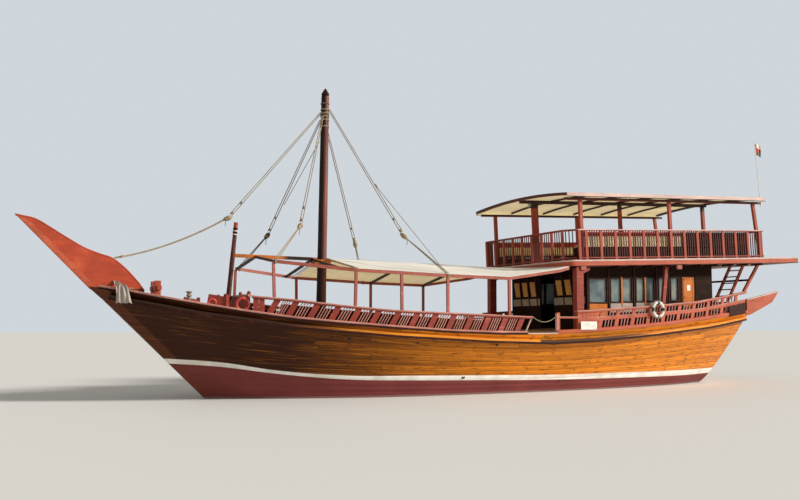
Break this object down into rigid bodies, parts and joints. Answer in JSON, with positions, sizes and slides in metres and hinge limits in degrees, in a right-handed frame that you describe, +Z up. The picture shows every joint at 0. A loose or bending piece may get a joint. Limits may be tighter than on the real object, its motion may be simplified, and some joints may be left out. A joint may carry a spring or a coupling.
{
  "type": "wooden dhow sailing boat with awning and upper deck",
  "caption": "Wooden dhow with a raked prow board, single mast, foredeck awning, deckhouse and a canopied upper deck.",
  "frame": {"origin": "on the centreline at the waterline, amidships of the waterline length", "axes": "+X aft along the keel, +Y to starboard, +Z up from the water"},
  "size_m": [25.6495, 5.72, 10.5755],
  "materials": {
    "hull_planking": "varnished planks, dark at the bow",
    "prow_paint": "brick orange paint on wood",
    "red_timber": "red brown painted timber",
    "beam_timber": "orange brown varnished timber",
    "deck_planks": "worn bare planks",
    "mast_timber": "dark oiled pole",
    "canvas": "off white canvas",
    "rope": "tan laid rope",
    "cabin_timber": "dark varnished panels",
    "door_timber": "orange varnished panel",
    "white_paint": "white gloss",
    "iron": "painted forged iron",
    "bronze": "cast bronze",
    "cushion": "beige woven cover",
    "flag_cloth": "thin bunting"
  },
  "bodies": {
    "boat": {"hull": "hull_planking", "prow_board": "prow_paint", "bow_bitts": "cabin_timber", "breakwater": "red_timber", "mast": "mast_timber", "forward_post": "mast_timber", "awning_ridge": "beam_timber", "awning_canvas": "canvas", "upper_deck": "deck_planks", "cabin_front": "cabin_timber", "cabin_aft": "cabin_timber", "stern_ladder": "beam_timber", "stern_platform": "deck_planks", "upper_rail_front": "red_timber", "upper_rail_aft": "red_timber", "canopy_centre": "beam_timber", "canopy_cloth": "canvas", "forestay": "rope", "lifebuoy_aft": "white_paint", "flag_staff": "white_paint", "flag": "flag_cloth", "gangway_rope": "rope", "rudder_hangings": "iron", "rub_rail_port": "red_timber", "gunwale_port": "red_timber", "fore_bulwark_port": "red_timber", "aft_bulwark_port": "red_timber", "quarter_wing_port": "red_timber", "awning_eave_port": "beam_timber", "pillar_front_port": "red_timber", "pillar_middle_port": "beam_timber", "pillar_aft_port": "beam_timber", "cabin_wall_port": "cabin_timber", "upper_rail_port": "red_timber", "canopy_side_port": "beam_timber", "upper_bench_port": "beam_timber", "upper_cushion_port": "cushion", "stay_fore_port": "rope", "stay_aft_port": "rope", "rub_rail_starboard": "red_timber", "gunwale_starboard": "red_timber", "fore_bulwark_starboard": "red_timber", "aft_bulwark_starboard": "red_timber", "quarter_wing_starboard": "red_timber", "awning_eave_starboard": "beam_timber", "pillar_front_starboard": "red_timber", "pillar_middle_starboard": "beam_timber", "pillar_aft_starboard": "beam_timber", "cabin_wall_starboard": "cabin_timber", "upper_rail_starboard": "red_timber", "canopy_side_starboard": "beam_timber", "upper_bench_starboard": "beam_timber", "upper_cushion_starboard": "cushion", "stay_fore_starboard": "rope", "stay_aft_starboard": "rope"},
    "rudder": {"rudder": "hull_planking"},
    "propeller": {"propeller": "bronze"},
    "cabin_door": {"cabin_door": "door_timber"}
  },
  "joints": [
    {"name": "rudder_steering", "type": "hinge", "parent": "boat", "child": "rudder", "pos_m": [9.0073, 0, -0.06041], "axis": [0.4027, 0, 0.9153], "range_deg": [-35, 35]},
    {"name": "propeller_spin", "type": "hinge", "parent": "boat", "child": "propeller", "pos_m": [7.9, 0, -0.78], "axis": [1, 0, 0], "continuous": true},
    {"name": "cabin_door_swing", "type": "hinge", "parent": "boat", "child": "cabin_door", "pos_m": [6.77, -2.058, 3], "axis": [0, 0, 1], "range_deg": [0, 95]}
  ]
}
